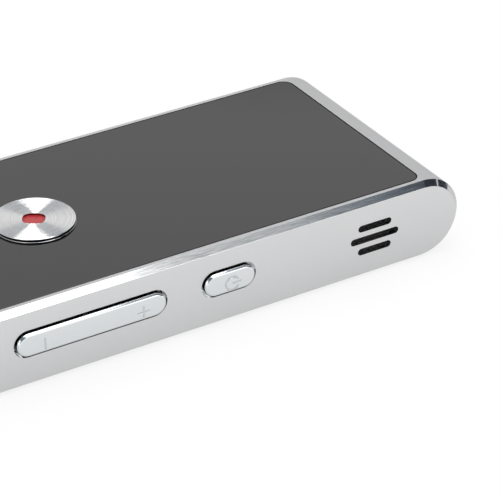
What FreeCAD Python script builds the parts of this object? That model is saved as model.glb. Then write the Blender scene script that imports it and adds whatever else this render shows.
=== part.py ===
"""A handheld voice translator: a slim metal bar with half-round ends, dark glass front and back,
two round talk keys on the front, a volume rocker and a power key on one side, and a slotted sound outlet.

Sizes are in millimetres. X runs along the bar, with the sound outlet near the +X end.
Y runs across it, with the keys on the -Y side. Z points up, out of the front glass.
The origin is the centre of the back face, on which the bar lies.
"""

import FreeCAD, Part
import math
import os
from FreeCAD import Vector

# Casing
LENGTH = 140.0
WIDTH = 39.8
THICKNESS = 12.6
EDGE_CHAMFER = 0.82
SIDE_WALL = 1.4
END_WALL = 1.6
PANEL_THICKNESS = 1.0
PANEL_SIDE_BORDER = 1.42
PANEL_END_BORDER = 6.0
PANEL_CORNER_RADIUS = 1.8
PANEL_GAP = 0.1
PANEL_EDGE_CHAMFER = 0.12
TAPE_THICKNESS = 0.15
LEDGE_WIDTH = 1.5
LEDGE_THICKNESS = 0.8

# Talk keys on the front
TALK_KEY_SPACING = 20.5
TALK_KEY_RADIUS = 5.95
TALK_KEY_RISE = 0.5
TALK_KEY_TRAVEL = 0.4
TALK_KEY_RIM = 0.22
TALK_KEY_GAP = 0.12
TALK_FLANGE_WIDTH = 0.8
TALK_FLANGE_THICKNESS = 0.7
TALK_NUB_RADIUS = 1.1
CARRIER_RIM = 1.4
TALK_MARK_LENGTH = 3.3
TALK_MARK_WIDTH = 2.9
TALK_MARK_CORNER = 1.15
TALK_MARK_TURN = -32.5
TALK_MARK_DEPTH = 0.6
TALK_MARK_SINK = 0.18
TALK_DOME_RADIUS = 3.0
TALK_DOME_HEIGHT = 0.5

# Side keys
SIDE_KEY_HEIGHT = 3.55
SIDE_KEY_LEVEL = 6.9
SIDE_KEY_RISE = 0.55
SIDE_KEY_BEVEL = 0.25
SIDE_KEY_GAP = 0.35
SIDE_FLANGE_WIDTH = 0.8
SIDE_FLANGE_THICKNESS = 0.5
VOLUME_KEY_LENGTH = 23.05
VOLUME_KEY_FROM_END = 61.45
VOLUME_ROCK_GAP = 0.4
VOLUME_NUB_OFFSET = 7.5
POWER_KEY_LENGTH = 8.16
POWER_KEY_FROM_END = 39.67
POWER_KEY_TRAVEL = 0.3
SIDE_NUB_RADIUS = 0.9
SIDE_DOME_RADIUS = 1.9
SIDE_DOME_HEIGHT = 0.35
DOME_SHEET = 0.08
DOME_CROWN = 0.45
DOME_FLATS = 12
FLEX_THICKNESS = 0.15
FLEX_HEIGHT = 4.4
BRACKET_THICKNESS = 0.6
BRACKET_OVERHANG = 3.4
BRACKET_HEIGHT = 5.2
POST_WIDTH = 2.6
POST_GRIP = 1.0
PIVOT_RADIUS = 0.45

# Sound outlet and speaker
SOUND_FROM_END = 15.1
SLOT_HEIGHT = 1.1
SLOT_PITCH = 1.92
SLOT_LENGTHS = (5.7, 8.25, 5.7)
MESH_THICKNESS = 0.2
MESH_MARGIN = 1.2
SPEAKER_LENGTH = 18.0
SPEAKER_DEPTH = 4.6
SPEAKER_HEIGHT = 7.4
SPEAKER_SHELL = 0.6
GASKET_THICKNESS = 0.45
MAGNET_RADIUS = 2.5

# Boards, battery and fixings
BOARD_THICKNESS = 1.0
BOARD_GAP = 0.5
CHASSIS_THICKNESS = 0.8
BATTERY_LENGTH = 68.0
BATTERY_WIDTH = 26.0
BATTERY_THICKNESS = 5.0
BATTERY_CENTRE_X = -19.0
BATTERY_TAPE = 0.2
BATTERY_EDGE_RADIUS = 1.6
LEAD_WIDTH = 1.0
LEAD_THICKNESS = 0.3
LEAD_SPREAD = 1.2
LEAD_BEND = 1.5
SCREW_RADIUS = 0.7
SCREW_HEAD_RADIUS = 1.3
SCREW_HEAD_HEIGHT = 0.6
SCREW_BITE = 3.5
SCREW_END_ROOM = 0.3
BOSS_REACH = 1.8
LUG_WIDTH = 5.0
LUG_INSET = 5.0
LUG_MARGIN = 11.5
SOCKET_WIDTH = 7.5
SOCKET_HEIGHT = 2.6
SOCKET_LENGTH = 6.6
SOCKET_SHEET = 0.3
SOCKET_SINK = 0.7
MIC_OFFSET = 9.0
MIC_HOLE_RADIUS = 0.5
BOOT_WIDTH = 3.2
BOOT_DROP = 1.2
BOOT_GAP = 0.2
MIC_LENGTH = 3.5
MIC_WIDTH = 2.6
MIC_HEIGHT = 1.0
CAN_LENGTH = 19.0
CAN_WIDTH = 15.0
CAN_HEIGHT = 1.15
CAN_SHEET = 0.2
CAN_ROOM = 5.2
CAN_SIDE_ROOM = 1.2
CHIP_HEIGHT = 0.8
MAIN_CHIP_WIDTH = 8.0
MEMORY_LENGTH = 4.5
MEMORY_WIDTH = 6.5
CHARGE_CHIP_WIDTH = 5.0
POWER_CHIP_WIDTH = 3.0
CHIP_SPACING = 8.0
CHIP_ROOM = 12.0
SLIP = 0.05

# Levels and places that follow from the sizes above
END_RADIUS = THICKNESS / 2
MID_LEVEL = THICKNESS / 2
PANEL_LENGTH = LENGTH - 2 * PANEL_END_BORDER - 2 * PANEL_GAP
PANEL_WIDTH = WIDTH - 2 * PANEL_SIDE_BORDER - 2 * PANEL_GAP
PANEL_UNDERSIDE = THICKNESS - PANEL_THICKNESS
POCKET_DEPTH = PANEL_THICKNESS + TAPE_THICKNESS
LEDGE_TOP = POCKET_DEPTH + LEDGE_THICKNESS
CAVITY_TOP = THICKNESS - LEDGE_TOP
CAVITY_HALF_WIDTH = WIDTH / 2 - SIDE_WALL
WINDOW_LENGTH = LENGTH - 2 * PANEL_END_BORDER - 2 * LEDGE_WIDTH
WINDOW_WIDTH = WIDTH - 2 * PANEL_SIDE_BORDER - 2 * LEDGE_WIDTH
WINDOW_CORNER = PANEL_CORNER_RADIUS / 2

FLANGE_TOP = PANEL_UNDERSIDE - SLIP
FLANGE_BOTTOM = FLANGE_TOP - TALK_FLANGE_THICKNESS
TALK_DOME_TOP = FLANGE_BOTTOM - BOARD_GAP
BOARD_TOP = TALK_DOME_TOP - TALK_DOME_HEIGHT
BOARD_BOTTOM = BOARD_TOP - BOARD_THICKNESS
BATTERY_TOP = PANEL_THICKNESS + 0.7 + BATTERY_THICKNESS
CHASSIS_BOTTOM = BATTERY_TOP + BATTERY_TAPE
CHASSIS_TOP = CHASSIS_BOTTOM + CHASSIS_THICKNESS
BOARD_HALF_WIDTH = WINDOW_WIDTH / 2 - SLIP
BOARD_HALF_LENGTH = WINDOW_LENGTH / 2 - 0.5
LUG_X = LENGTH / 2 - LUG_MARGIN
LUG_Y = CAVITY_HALF_WIDTH - LUG_INSET / 2 - 0.9

WALL_FACE = -WIDTH / 2
WALL_INNER = -CAVITY_HALF_WIDTH
VOLUME_X = LENGTH / 2 - VOLUME_KEY_FROM_END
POWER_X = LENGTH / 2 - POWER_KEY_FROM_END
SOUND_X = LENGTH / 2 - SOUND_FROM_END
VOLUME_FLANGE_FACE = WALL_INNER + VOLUME_ROCK_GAP
NUB_LENGTH = 0.35
DOME_FRONT = VOLUME_FLANGE_FACE + SIDE_FLANGE_THICKNESS + NUB_LENGTH
FLEX_FACE = DOME_FRONT + SIDE_DOME_HEIGHT
BRACKET_FACE = FLEX_FACE + FLEX_THICKNESS
BRACKET_BACK = BRACKET_FACE + BRACKET_THICKNESS
BRACKET_X0 = VOLUME_X - VOLUME_KEY_LENGTH / 2 - BRACKET_OVERHANG
BRACKET_X1 = POWER_X + POWER_KEY_LENGTH / 2 + BRACKET_OVERHANG
POST_X0 = BRACKET_X0 + POST_GRIP - POST_WIDTH
POST_X1 = BRACKET_X1 - POST_GRIP + POST_WIDTH
POST_BACK = BRACKET_BACK + 0.5
KEY_NOTCH_Y = POST_BACK + 0.2
SPEAKER_X0 = SOUND_X - SPEAKER_LENGTH / 2
SPEAKER_FRONT = WALL_INNER + MESH_THICKNESS + GASKET_THICKNESS + SLIP
SPEAKER_BACK = SPEAKER_FRONT + SPEAKER_DEPTH
SPEAKER_FLOOR = LEDGE_TOP + SLIP
SPEAKER_NOTCH_X = SPEAKER_X0 - 0.8
SPEAKER_NOTCH_Y = SPEAKER_BACK + SLIP
SOCKET_MOUTH = -LENGTH / 2 + SOCKET_SINK
SOCKET_BACK = SOCKET_MOUTH + SOCKET_LENGTH
SOCKET_LEVEL = BOARD_BOTTOM - SOCKET_HEIGHT / 2
LEAD_LEVEL = BATTERY_TOP - 2.2
LEAD_UP_X = BATTERY_CENTRE_X + BATTERY_LENGTH / 2 + 5.0
MIC_X0 = -BOARD_HALF_LENGTH + 0.2
COLLAR_RADIUS = TALK_KEY_RADIUS + TALK_FLANGE_WIDTH + 4 * SLIP
CARRIER_END = TALK_KEY_SPACING / 2 + COLLAR_RADIUS + CARRIER_RIM
CAN_X = CARRIER_END + CAN_ROOM + CAN_LENGTH / 2
CAN_Y = BOARD_HALF_WIDTH - CAN_WIDTH - CAN_SIDE_ROOM
CHIP_X = -CARRIER_END - CHIP_ROOM


def block(x0, x1, y0, y1, z0, z1):
    """A plain block between two corners."""
    return Part.makeBox(x1 - x0, y1 - y0, z1 - z0, Vector(x0, y0, z0))


def plate(length, width, z0, z1, corner, cx=0.0, cy=0.0):
    """A flat plate with rounded corners, seen from above."""
    body = block(cx - length / 2, cx + length / 2, cy - width / 2, cy + width / 2, z0, z1)
    upright = [e for e in body.Edges if abs(e.Vertexes[0].Z - e.Vertexes[1].Z) > (z1 - z0) / 2]
    return body.makeFillet(corner, upright)


def sheet(length, width, z0, z1, corner, cx=0.0, cy=0.0):
    """A flat sheet with its corners cut off, seen from above."""
    body = block(cx - length / 2, cx + length / 2, cy - width / 2, cy + width / 2, z0, z1)
    upright = [e for e in body.Edges if abs(e.Vertexes[0].Z - e.Vertexes[1].Z) > (z1 - z0) / 2]
    return body.makeChamfer(corner, upright)


def stadium(length, height, y0, y1, cx, cz):
    """A bar with full half-round ends, seen along Y, from y0 to y1."""
    r = height / 2
    half = length / 2 - r
    corners = [Vector(cx - half, y0, cz - r), Vector(cx + half, y0, cz - r),
               Vector(cx + half, y0, cz + r), Vector(cx - half, y0, cz + r)]
    edges = [
        Part.LineSegment(corners[0], corners[1]).toShape(),
        Part.Arc(corners[1], Vector(cx + half + r, y0, cz), corners[2]).toShape(),
        Part.LineSegment(corners[2], corners[3]).toShape(),
        Part.Arc(corners[3], Vector(cx - half - r, y0, cz), corners[0]).toShape(),
    ]
    return Part.Face(Part.Wire(edges)).extrude(Vector(0, y1 - y0, 0))


def disc(radius, z0, z1, cx=0.0, cy=0.0):
    """An upright cylinder."""
    return Part.makeCylinder(radius, z1 - z0, Vector(cx, cy, z0))


def rod_y(radius, y0, y1, cx, cz):
    """A cylinder that lies along Y."""
    return Part.makeCylinder(radius, y1 - y0, Vector(cx, y0, cz), Vector(0, 1, 0))


def bevel_front(shape, y, size):
    """Bevels every edge that lies in the plane at y."""
    rim = [e for e in shape.Edges if all(abs(v.Y - y) < 1e-6 for v in e.Vertexes)]
    return shape.makeChamfer(size, rim)


def bevel_level(shape, z, size):
    """Bevels every edge that lies in the level plane at z."""
    rim = [e for e in shape.Edges if all(abs(v.Z - z) < 1e-6 for v in e.Vertexes)]
    return shape.makeChamfer(size, rim)


def facet_ring(radius, level):
    """A level wire with DOME_FLATS equal sides."""
    turns = [2 * math.pi * i / DOME_FLATS for i in range(DOME_FLATS)]
    corners = [Vector(radius * math.cos(a), radius * math.sin(a), level) for a in turns]
    return Part.makePolygon(corners + corners[:1])


def dome(radius, height):
    """A snap dome on its rim: a thin pressed sheet with a sloping skirt and a flat crown."""
    outer = Part.makeLoft([facet_ring(radius, 0), facet_ring(radius * DOME_CROWN, height)], True)
    reach = radius - DOME_SHEET * radius / height
    inner = Part.makeLoft([facet_ring(reach, 0), facet_ring(reach * DOME_CROWN, height - DOME_SHEET)], True)
    return outer.cut(inner)


def flat_lead(x0, x1, y0, y1, z0, z1, bend):
    """A flat lead that runs level from x0 to x1 at z0, then bends and rises to z1."""
    way = math.copysign(1, x1 - x0)
    middle = Vector(x1 - way * bend * (1 - math.sqrt(0.5)), y0, z0 + bend * (1 - math.sqrt(0.5)))
    path = [Part.LineSegment(Vector(x0, y0, z0), Vector(x1 - way * bend, y0, z0)),
            Part.Arc(Vector(x1 - way * bend, y0, z0), middle, Vector(x1, y0, z0 + bend)),
            Part.LineSegment(Vector(x1, y0, z0 + bend), Vector(x1, y0, z1))]
    reach = bend - LEAD_THICKNESS
    inner = Vector(x1 - way * (LEAD_THICKNESS + reach * (1 - math.sqrt(0.5))), y0,
                   z0 + LEAD_THICKNESS + reach * (1 - math.sqrt(0.5)))
    back = [Part.LineSegment(Vector(x1, y0, z1), Vector(x1 - way * LEAD_THICKNESS, y0, z1)),
            Part.LineSegment(Vector(x1 - way * LEAD_THICKNESS, y0, z1),
                             Vector(x1 - way * LEAD_THICKNESS, y0, z0 + bend)),
            Part.Arc(Vector(x1 - way * LEAD_THICKNESS, y0, z0 + bend), inner,
                     Vector(x1 - way * bend, y0, z0 + LEAD_THICKNESS)),
            Part.LineSegment(Vector(x1 - way * bend, y0, z0 + LEAD_THICKNESS),
                             Vector(x0, y0, z0 + LEAD_THICKNESS)),
            Part.LineSegment(Vector(x0, y0, z0 + LEAD_THICKNESS), Vector(x0, y0, z0))]
    outline = Part.Wire([c.toShape() for c in path + back])
    return Part.Face(outline).extrude(Vector(0, y1 - y0, 0))


def lug_places():
    """The four places where lugs of the frame carry the chassis and the board."""
    return [(-LUG_X, -LUG_Y), (-LUG_X, LUG_Y), (0.0, LUG_Y), (LUG_X, LUG_Y)]


def screw_places():
    """The two lugs, at opposite corners, that also take a screw."""
    return [lug_places()[0], lug_places()[-1]]


def side_key_places():
    """The centre and length of each side key's cap."""
    return [(VOLUME_X, VOLUME_KEY_LENGTH), (POWER_X, POWER_KEY_LENGTH)]


def talk_key_places():
    """The X places of the red and the blue talk key."""
    return {"red": TALK_KEY_SPACING / 2, "blue": -TALK_KEY_SPACING / 2}


def lug(x, y):
    """A screw lug that grows out of the side wall and stops under the chassis."""
    side = math.copysign(1, y)
    tip = y - side * LUG_INSET / 2
    wall = side * (CAVITY_HALF_WIDTH + SIDE_WALL / 2)
    low, high = min(tip, wall), max(tip, wall)
    return block(x - LUG_WIDTH / 2, x + LUG_WIDTH / 2, low, high,
                 LEDGE_TOP - LEDGE_THICKNESS / 2, CHASSIS_BOTTOM)


def bracket_posts():
    """Two posts inside the key wall, each with a groove that holds one end of the key bracket."""
    posts = [block(x0, x0 + POST_WIDTH, WALL_INNER - SIDE_WALL / 2, POST_BACK,
                   LEDGE_TOP - LEDGE_THICKNESS / 2, SIDE_KEY_LEVEL + BRACKET_HEIGHT / 2)
             for x0 in (POST_X0, POST_X1 - POST_WIDTH)]
    groove = block(BRACKET_X0 - SLIP, BRACKET_X1 + SLIP, BRACKET_FACE - SLIP, BRACKET_BACK + SLIP,
                   SIDE_KEY_LEVEL - BRACKET_HEIGHT / 2, THICKNESS)
    return [p.cut(groove) for p in posts]


def housing_frame():
    """The metal band: chamfered sides, half-round ends, panel pockets, ledges, lugs and openings."""
    body = stadium(LENGTH, THICKNESS, WALL_FACE, -WALL_FACE, 0, MID_LEVEL)
    sides = [e for e in body.Edges if all(abs(abs(v.Y) - WIDTH / 2) < 1e-6 for v in e.Vertexes)]
    sides = [e for e in sides if abs(abs(e.CenterOfMass.y) - WIDTH / 2) < 1e-6]
    body = body.makeChamfer(EDGE_CHAMFER, sides)
    pocket_length = PANEL_LENGTH + 2 * PANEL_GAP
    pocket_width = PANEL_WIDTH + 2 * PANEL_GAP
    cavity = stadium(LENGTH - 2 * END_WALL, THICKNESS - 2 * LEDGE_TOP,
                     -CAVITY_HALF_WIDTH, CAVITY_HALF_WIDTH, 0, MID_LEVEL)
    for z0, z1 in ((0.0, POCKET_DEPTH), (THICKNESS - POCKET_DEPTH, THICKNESS)):
        body = body.cut(plate(pocket_length, pocket_width, z0, z1, PANEL_CORNER_RADIUS))
    body = body.cut(plate(WINDOW_LENGTH, WINDOW_WIDTH, 0, THICKNESS, WINDOW_CORNER))
    body = body.cut(cavity)
    body = body.fuse([lug(x, y) for x, y in lug_places()] + bracket_posts())
    for x, y in screw_places():
        body = body.cut(disc(SCREW_RADIUS, CHASSIS_BOTTOM - SCREW_BITE, CHASSIS_BOTTOM, x, y))
    for x, length in side_key_places():
        body = body.cut(stadium(length + 2 * SIDE_KEY_GAP, SIDE_KEY_HEIGHT + 2 * SIDE_KEY_GAP,
                                WALL_FACE - 1, WALL_INNER, x, SIDE_KEY_LEVEL))
    for row, length in enumerate(SLOT_LENGTHS):
        level = MID_LEVEL + (1 - row) * SLOT_PITCH
        body = body.cut(stadium(length, SLOT_HEIGHT, WALL_FACE - 1, WALL_INNER, SOUND_X, level))
    mouth = SOCKET_SHEET / 2 + SLIP
    body = body.cut(plate_x(SOCKET_WIDTH + 2 * mouth, SOCKET_HEIGHT + 2 * mouth, -LENGTH / 2 - 1,
                            SOCKET_BACK, 0, SOCKET_LEVEL, 0.8))
    mic_bore = Part.makeCylinder(MIC_HOLE_RADIUS, 2 * END_WALL + 2,
                                 Vector(-LENGTH / 2 - 1, MIC_OFFSET, MID_LEVEL), Vector(1, 0, 0))
    return body.cut(mic_bore).removeSplitter()


def plate_x(width, height, x0, x1, cy, cz, corner):
    """A bar along X with a rounded-rectangle section."""
    body = block(x0, x1, cy - width / 2, cy + width / 2, cz - height / 2, cz + height / 2)
    along = [e for e in body.Edges if abs(e.Vertexes[0].X - e.Vertexes[1].X) > (x1 - x0) / 2]
    return body.makeFillet(corner, along)


def glass_panel(z0, outer_level):
    """A dark glass panel with a fine bevel round its outer face."""
    panel = plate(PANEL_LENGTH, PANEL_WIDTH, z0, z0 + PANEL_THICKNESS, PANEL_CORNER_RADIUS - PANEL_GAP)
    return bevel_level(panel, outer_level, PANEL_EDGE_CHAMFER)


def front_panel():
    """The front glass, with a round hole for each talk key."""
    panel = glass_panel(PANEL_UNDERSIDE, THICKNESS)
    for x in talk_key_places().values():
        panel = panel.cut(disc(TALK_KEY_RADIUS + TALK_KEY_GAP, PANEL_UNDERSIDE, THICKNESS, x))
    return panel


def panel_tape(z0):
    """The adhesive ring between a panel and its ledge."""
    outer = sheet(PANEL_LENGTH - 2 * PANEL_GAP, PANEL_WIDTH - 2 * PANEL_GAP, z0, z0 + TAPE_THICKNESS,
                  PANEL_CORNER_RADIUS - PANEL_GAP)
    return outer.cut(sheet(WINDOW_LENGTH, WINDOW_WIDTH, z0, z0 + TAPE_THICKNESS, WINDOW_CORNER))


def mark_shape(x, grow, z0, z1):
    """The rounded block of a talk key's coloured mark, or its recess."""
    body = plate(TALK_MARK_LENGTH + 2 * grow, TALK_MARK_WIDTH + 2 * grow, z0, z1, TALK_MARK_CORNER + grow)
    body.rotate(Vector(0, 0, 0), Vector(0, 0, 1), TALK_MARK_TURN)
    body.translate(Vector(x, 0, 0))
    return body


def talk_key(x):
    """A round metal key: bevelled cap, retaining flange and the nub that presses the snap dome."""
    top = THICKNESS + TALK_KEY_RISE
    cap = bevel_level(disc(TALK_KEY_RADIUS, FLANGE_BOTTOM, top, x), top, TALK_KEY_RIM)
    flange = disc(TALK_KEY_RADIUS + TALK_FLANGE_WIDTH, FLANGE_BOTTOM, FLANGE_TOP, x)
    nub = disc(TALK_NUB_RADIUS, TALK_DOME_TOP, FLANGE_BOTTOM, x)
    body = cap.fuse([flange, nub]).removeSplitter()
    return body.cut(mark_shape(x, 0.0, top - TALK_MARK_DEPTH, top))


def talk_mark(x):
    """The coloured insert, sunk a little below the key's face."""
    top = THICKNESS + TALK_KEY_RISE
    return mark_shape(x, 0.0, top - TALK_MARK_DEPTH, top - TALK_MARK_SINK)


def talk_dome(x):
    """The snap dome on the board under a talk key."""
    body = dome(TALK_DOME_RADIUS, TALK_DOME_HEIGHT)
    body.translate(Vector(x, 0, BOARD_TOP))
    return body


def key_carrier():
    """The plastic collar that guides both talk keys and backs the front glass."""
    reach = COLLAR_RADIUS + CARRIER_RIM
    body = sheet(2 * CARRIER_END, 2 * reach, BOARD_TOP, PANEL_UNDERSIDE, reach / 2)
    for x in talk_key_places().values():
        body = body.cut(disc(COLLAR_RADIUS, BOARD_TOP, PANEL_UNDERSIDE, x))
    return body


def side_key(x, length, flange_face, nub_offsets):
    """A side key: bevelled cap, flange behind the wall and one nub for each snap dome."""
    cap = stadium(length, SIDE_KEY_HEIGHT, WALL_FACE - SIDE_KEY_RISE, flange_face + SIDE_FLANGE_THICKNESS, x,
                  SIDE_KEY_LEVEL)
    cap = bevel_front(cap, WALL_FACE - SIDE_KEY_RISE, SIDE_KEY_BEVEL)
    flange = stadium(length + 2 * SIDE_FLANGE_WIDTH, SIDE_KEY_HEIGHT + 2 * SIDE_FLANGE_WIDTH, flange_face,
                     flange_face + SIDE_FLANGE_THICKNESS, x, SIDE_KEY_LEVEL)
    nubs = [rod_y(SIDE_NUB_RADIUS, flange_face, DOME_FRONT, x + offset, SIDE_KEY_LEVEL)
            for offset in nub_offsets]
    return cap.fuse([flange] + nubs).removeSplitter()


def volume_key():
    """The volume rocker, which tilts on a rounded rib at its middle."""
    body = side_key(VOLUME_X, VOLUME_KEY_LENGTH, VOLUME_FLANGE_FACE, (-VOLUME_NUB_OFFSET, VOLUME_NUB_OFFSET))
    half = SIDE_KEY_HEIGHT / 2
    nose = FLEX_FACE - SLIP - PIVOT_RADIUS
    rib = block(VOLUME_X - PIVOT_RADIUS, VOLUME_X + PIVOT_RADIUS, VOLUME_FLANGE_FACE, nose,
                SIDE_KEY_LEVEL - half, SIDE_KEY_LEVEL + half)
    tip = Part.makeCylinder(PIVOT_RADIUS, 2 * half, Vector(VOLUME_X, nose, SIDE_KEY_LEVEL - half))
    return body.fuse([rib, tip]).removeSplitter()


def power_key():
    """The power key, which slides straight in."""
    return side_key(POWER_X, POWER_KEY_LENGTH, WALL_INNER + SLIP, (0.0,))


def side_dome(x):
    """One snap dome on the side flex, with its crown towards the key."""
    body = dome(SIDE_DOME_RADIUS, SIDE_DOME_HEIGHT)
    body.rotate(Vector(0, 0, 0), Vector(1, 0, 0), 90)
    body.translate(Vector(x, FLEX_FACE, SIDE_KEY_LEVEL))
    return body


def side_key_flex():
    """The flexible circuit that carries the side keys' domes."""
    inset = POST_GRIP + 2 * SLIP + (POST_WIDTH - POST_GRIP)
    half = FLEX_HEIGHT / 2
    return block(BRACKET_X0 + inset, BRACKET_X1 - inset, FLEX_FACE, BRACKET_FACE,
                 SIDE_KEY_LEVEL - half, SIDE_KEY_LEVEL + half)


def side_key_bracket():
    """The steel strip behind the side flex, held in the frame's grooved posts."""
    half = BRACKET_HEIGHT / 2
    return block(BRACKET_X0, BRACKET_X1, BRACKET_FACE, BRACKET_BACK,
                 SIDE_KEY_LEVEL - half, SIDE_KEY_LEVEL + half)


def sound_mesh():
    """The dark mesh behind the three sound slots."""
    height = 2 * SLOT_PITCH + SLOT_HEIGHT + MESH_MARGIN
    return stadium(max(SLOT_LENGTHS) + MESH_MARGIN, height, WALL_INNER, WALL_INNER + MESH_THICKNESS, SOUND_X,
                   MID_LEVEL)


def speaker_gasket():
    """The foam ring that seals the speaker to the wall."""
    y0 = WALL_INNER + MESH_THICKNESS + SLIP
    z0, z1 = SPEAKER_FLOOR, SPEAKER_FLOOR + SPEAKER_HEIGHT
    outer = block(SPEAKER_X0, SPEAKER_X0 + SPEAKER_LENGTH, y0, y0 + GASKET_THICKNESS, z0, z1)
    rim = 2 * SPEAKER_SHELL
    inner = block(SPEAKER_X0 + rim, SPEAKER_X0 + SPEAKER_LENGTH - rim, y0, y0 + GASKET_THICKNESS,
                  z0 + rim, z1 - rim)
    return outer.cut(inner)


def speaker_case():
    """The speaker's box, open towards the sound slots."""
    z0, z1 = SPEAKER_FLOOR, SPEAKER_FLOOR + SPEAKER_HEIGHT
    outer = block(SPEAKER_X0, SPEAKER_X0 + SPEAKER_LENGTH, SPEAKER_FRONT, SPEAKER_BACK, z0, z1)
    room = block(SPEAKER_X0 + SPEAKER_SHELL, SPEAKER_X0 + SPEAKER_LENGTH - SPEAKER_SHELL, SPEAKER_FRONT,
                 SPEAKER_BACK - SPEAKER_SHELL, z0 + SPEAKER_SHELL, z1 - SPEAKER_SHELL)
    return outer.cut(room)


def speaker_cone():
    """The speaker's diaphragm: a flat surround with a raised oval dome."""
    z_mid = SPEAKER_FLOOR + SPEAKER_HEIGHT / 2
    inner_length = SPEAKER_LENGTH - 2 * SPEAKER_SHELL
    inner_height = SPEAKER_HEIGHT - 2 * SPEAKER_SHELL
    y0 = SPEAKER_FRONT + SPEAKER_SHELL
    sheet = block(SOUND_X - inner_length / 2, SOUND_X + inner_length / 2, y0, y0 + 0.2,
                  z_mid - inner_height / 2, z_mid + inner_height / 2)
    crown = stadium(inner_length - 3.0, inner_height - 2.0, y0 - 0.35, y0, SOUND_X, z_mid)
    return sheet.fuse(bevel_front(crown, y0 - 0.35, 0.3)).removeSplitter()


def speaker_magnet():
    """The speaker's round magnet, on the back wall of its box."""
    z_mid = SPEAKER_FLOOR + SPEAKER_HEIGHT / 2
    return rod_y(MAGNET_RADIUS, SPEAKER_FRONT + SPEAKER_SHELL + 1.2, SPEAKER_BACK - SPEAKER_SHELL,
                 SOUND_X, z_mid)


def notches(z0, z1):
    """The room that the board and the chassis leave for the side keys and the speaker."""
    far = LENGTH
    return [block(POST_X0 - 0.3, POST_X1 + 0.3, -far, KEY_NOTCH_Y, z0, z1),
            block(SPEAKER_NOTCH_X, far, -far, SPEAKER_NOTCH_Y + 1.0, z0, z1)]


def main_board():
    """The circuit board, with its tongue for the charge socket and holes for the screws."""
    body = sheet(2 * BOARD_HALF_LENGTH, 2 * BOARD_HALF_WIDTH, BOARD_BOTTOM, BOARD_TOP, WINDOW_CORNER)
    tongue = block(SOCKET_BACK - 3.4, -BOARD_HALF_LENGTH + 1, -SOCKET_WIDTH / 2, SOCKET_WIDTH / 2,
                   BOARD_BOTTOM, BOARD_TOP)
    body = body.fuse(tongue).removeSplitter()
    for notch in notches(BOARD_BOTTOM, BOARD_TOP):
        body = body.cut(notch)
    for x, y in screw_places():
        body = body.cut(disc(SCREW_RADIUS + SLIP, BOARD_BOTTOM, BOARD_TOP, x, y))
    return body


def chassis():
    """The plastic tray between battery and board, with screw bosses and a rib behind the speaker."""
    body = sheet(2 * BOARD_HALF_LENGTH, 2 * BOARD_HALF_WIDTH, CHASSIS_BOTTOM, CHASSIS_TOP, WINDOW_CORNER)
    for notch in notches(CHASSIS_BOTTOM, CHASSIS_TOP):
        body = body.cut(notch)
    socket_room = block(-LENGTH / 2, SOCKET_BACK + 1.0, -LENGTH, LENGTH, CHASSIS_BOTTOM, CHASSIS_TOP)
    body = body.cut(socket_room)
    lead_room = block(POST_X1, SPEAKER_NOTCH_X, -LENGTH, SPEAKER_NOTCH_Y + 1.0, CHASSIS_BOTTOM, CHASSIS_TOP)
    body = body.cut(lead_room)
    bosses = [sheet(2 * BOSS_REACH, 2 * BOSS_REACH, CHASSIS_BOTTOM, BOARD_BOTTOM, BOSS_REACH / 3, x, y)
              for x, y in lug_places()]
    rib = block(SPEAKER_NOTCH_X + 1.5, SPEAKER_X0 + SPEAKER_LENGTH - 1.5,
                SPEAKER_NOTCH_Y, SPEAKER_NOTCH_Y + 1.2, SPEAKER_FLOOR + 1.0, BOARD_BOTTOM)
    body = body.fuse(bosses + [rib])
    for x, y in screw_places():
        body = body.cut(disc(SCREW_RADIUS + SLIP, CHASSIS_BOTTOM, BOARD_BOTTOM, x, y))
    lead_slot = sheet(2.4, 5.0, CHASSIS_BOTTOM, CHASSIS_TOP, 0.5, LEAD_UP_X)
    return body.cut(lead_slot).removeSplitter()


def battery():
    """The pouch cell, with its rounded long edges and folded end seal."""
    x0 = BATTERY_CENTRE_X - BATTERY_LENGTH / 2
    z0 = BATTERY_TOP - BATTERY_THICKNESS
    half = BATTERY_WIDTH / 2
    pouch = block(x0, x0 + BATTERY_LENGTH, -half, half, z0, BATTERY_TOP)
    along = [e for e in pouch.Edges if abs(e.Vertexes[0].X - e.Vertexes[1].X) > BATTERY_LENGTH / 2]
    return pouch.makeFillet(BATTERY_EDGE_RADIUS, along)


def battery_pad():
    """The foam pad between the battery and the back glass."""
    return sheet(BATTERY_LENGTH - 8, BATTERY_WIDTH - 6, PANEL_THICKNESS, BATTERY_TOP - BATTERY_THICKNESS, 1.0,
                 BATTERY_CENTRE_X)


def battery_tape():
    """The tape that holds the battery to the chassis."""
    return sheet(BATTERY_LENGTH - 12, BATTERY_WIDTH - 8, BATTERY_TOP, CHASSIS_BOTTOM, 1.0, BATTERY_CENTRE_X)


def battery_leads():
    """Two flat leads from the battery's end up to the board."""
    start_x = BATTERY_CENTRE_X + BATTERY_LENGTH / 2
    return [flat_lead(start_x, LEAD_UP_X, y - LEAD_WIDTH / 2, y + LEAD_WIDTH / 2, LEAD_LEVEL,
                      BOARD_BOTTOM, LEAD_BEND)
            for y in (-LEAD_SPREAD, LEAD_SPREAD)]


def speaker_leads():
    """Two flat leads from the speaker's box up to the board."""
    up_x = (POST_X1 + SPEAKER_X0) / 2
    return [flat_lead(SPEAKER_X0, up_x, y - LEAD_WIDTH / 2, y + LEAD_WIDTH / 2, BOARD_BOTTOM - 2.6,
                      BOARD_BOTTOM, LEAD_BEND)
            for y in (SPEAKER_BACK - 3.2, SPEAKER_BACK - 1.4)]


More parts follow.
